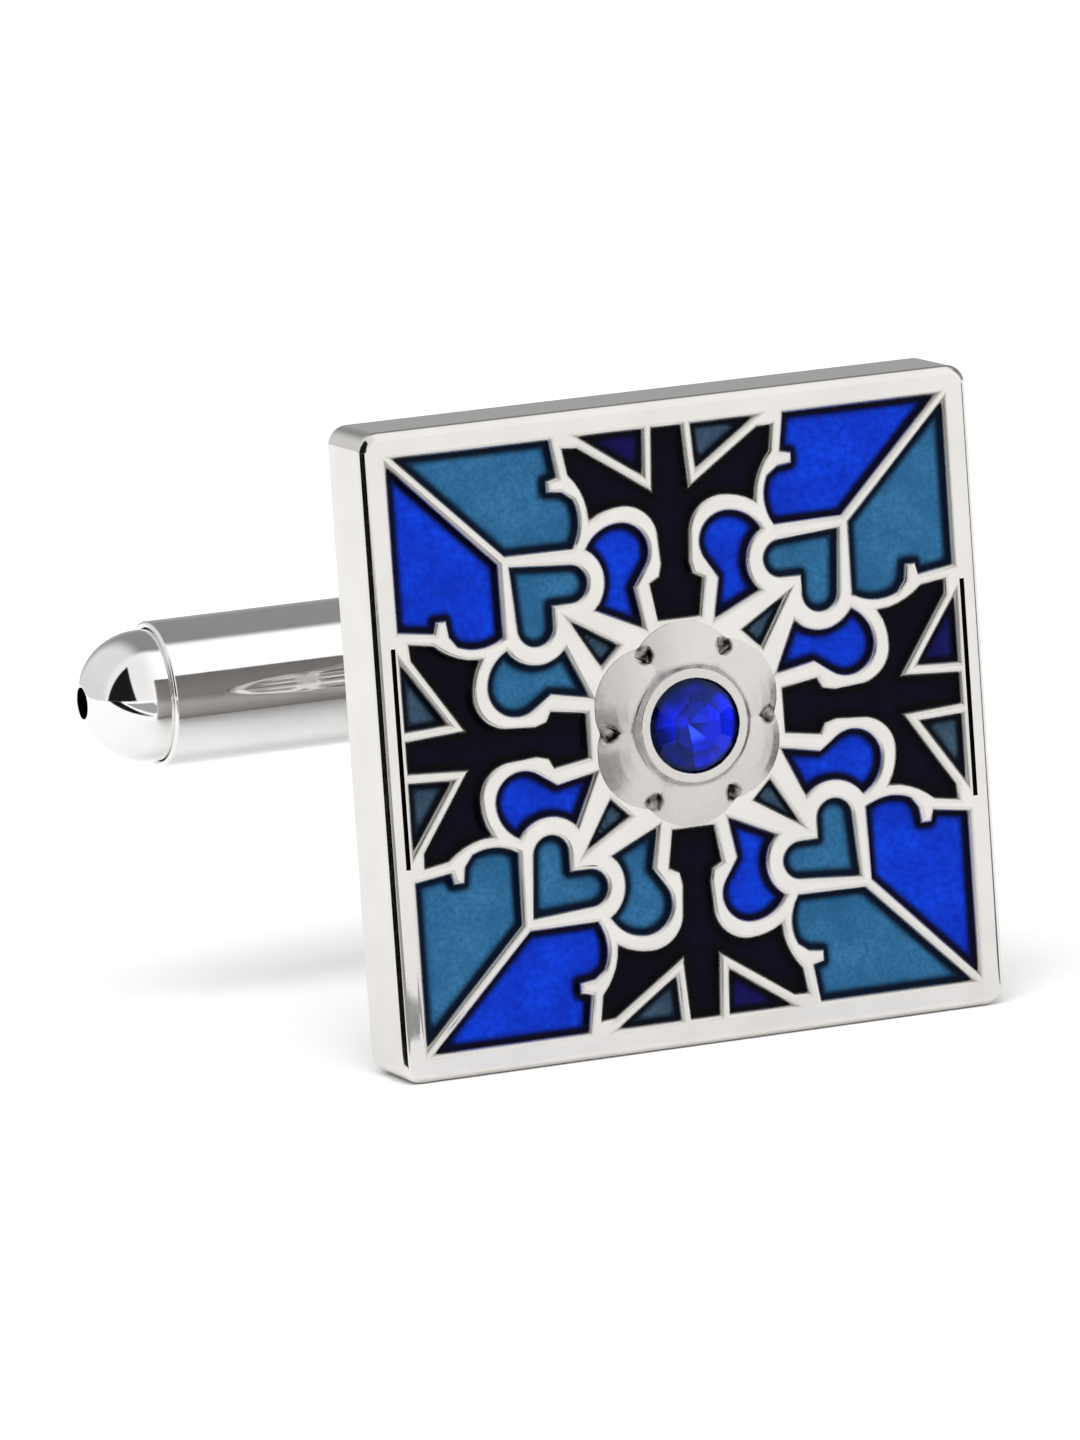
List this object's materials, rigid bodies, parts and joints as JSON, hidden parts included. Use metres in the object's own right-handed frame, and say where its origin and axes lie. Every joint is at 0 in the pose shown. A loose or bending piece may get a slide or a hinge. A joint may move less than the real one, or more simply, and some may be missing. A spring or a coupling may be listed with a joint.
{
  "type": "cufflink",
  "caption": "Square enamelled cufflink with a crystal in a lobed setting and a swivelling bullet-back toggle that turns in line with its forked post to pass a buttonhole.",
  "frame": {"origin": "middle of the face tray's flat back, on the post's axis", "axes": "+Y out of the tray's back along the post, +Z to the upper edge of the face, +X along the toggle as it is worn; the decorated face looks along -Y"},
  "size_m": [0.021, 0.0176, 0.016],
  "materials": {
    "plated_casting": "bright nickel plate",
    "polished_plate": "mirror polished plate",
    "spring_steel": "satin",
    "enamel_royal": "gloss enamel",
    "enamel_steel": "gloss enamel",
    "enamel_navy": "gloss enamel",
    "enamel_indigo": "gloss enamel",
    "enamel_slate": "gloss enamel",
    "blue_crystal": "faceted"
  },
  "bodies": {
    "face": {"crystal": "blue_crystal", "crystal_setting": "plated_casting", "enamel_bottom_petal_left": "enamel_steel", "enamel_bottom_petal_right": "enamel_royal", "enamel_bottom_tree": "enamel_navy", "enamel_bottom_triangle_left": "enamel_slate", "enamel_bottom_triangle_right": "enamel_indigo", "enamel_bottom_wedge_left": "enamel_royal", "enamel_bottom_wedge_right": "enamel_steel", "enamel_left_petal_lower": "enamel_royal", "enamel_left_petal_upper": "enamel_steel", "enamel_left_tree": "enamel_navy", "enamel_left_triangle_lower": "enamel_slate", "enamel_left_triangle_upper": "enamel_slate", "enamel_left_wedge_lower": "enamel_steel", "enamel_left_wedge_upper": "enamel_royal", "enamel_lower_left_dart": "enamel_slate", "enamel_lower_left_heart": "enamel_steel", "enamel_lower_right_dart": "enamel_slate", "enamel_lower_right_heart": "enamel_steel", "enamel_right_petal_lower": "enamel_royal", "enamel_right_petal_upper": "enamel_royal", "enamel_right_tree": "enamel_navy", "enamel_right_triangle_lower": "enamel_slate", "enamel_right_triangle_upper": "enamel_indigo", "enamel_right_wedge_lower": "enamel_royal", "enamel_right_wedge_upper": "enamel_steel", "enamel_top_petal_left": "enamel_royal", "enamel_top_petal_right": "enamel_royal", "enamel_top_tree": "enamel_navy", "enamel_top_triangle_left": "enamel_indigo", "enamel_top_triangle_right": "enamel_slate", "enamel_top_wedge_left": "enamel_steel", "enamel_top_wedge_right": "enamel_royal", "enamel_upper_left_dart": "enamel_slate", "enamel_upper_left_heart": "enamel_steel", "enamel_upper_right_dart": "enamel_slate", "enamel_upper_right_heart": "enamel_steel", "face_tray": "plated_casting", "pivot_pin": "polished_plate", "post_foot": "polished_plate", "post_fork": "polished_plate"},
    "toggle": {"toggle_tube": "polished_plate", "toggle_tip_left": "polished_plate", "toggle_tip_right": "polished_plate", "detent_spring": "spring_steel"}
  },
  "joints": [
    {"name": "toggle_swivel", "type": "hinge", "parent": "face", "child": "toggle", "pos_m": [0, 0.0125, 0], "axis": [0, 0, 1], "range_deg": [-90, 90]}
  ]
}
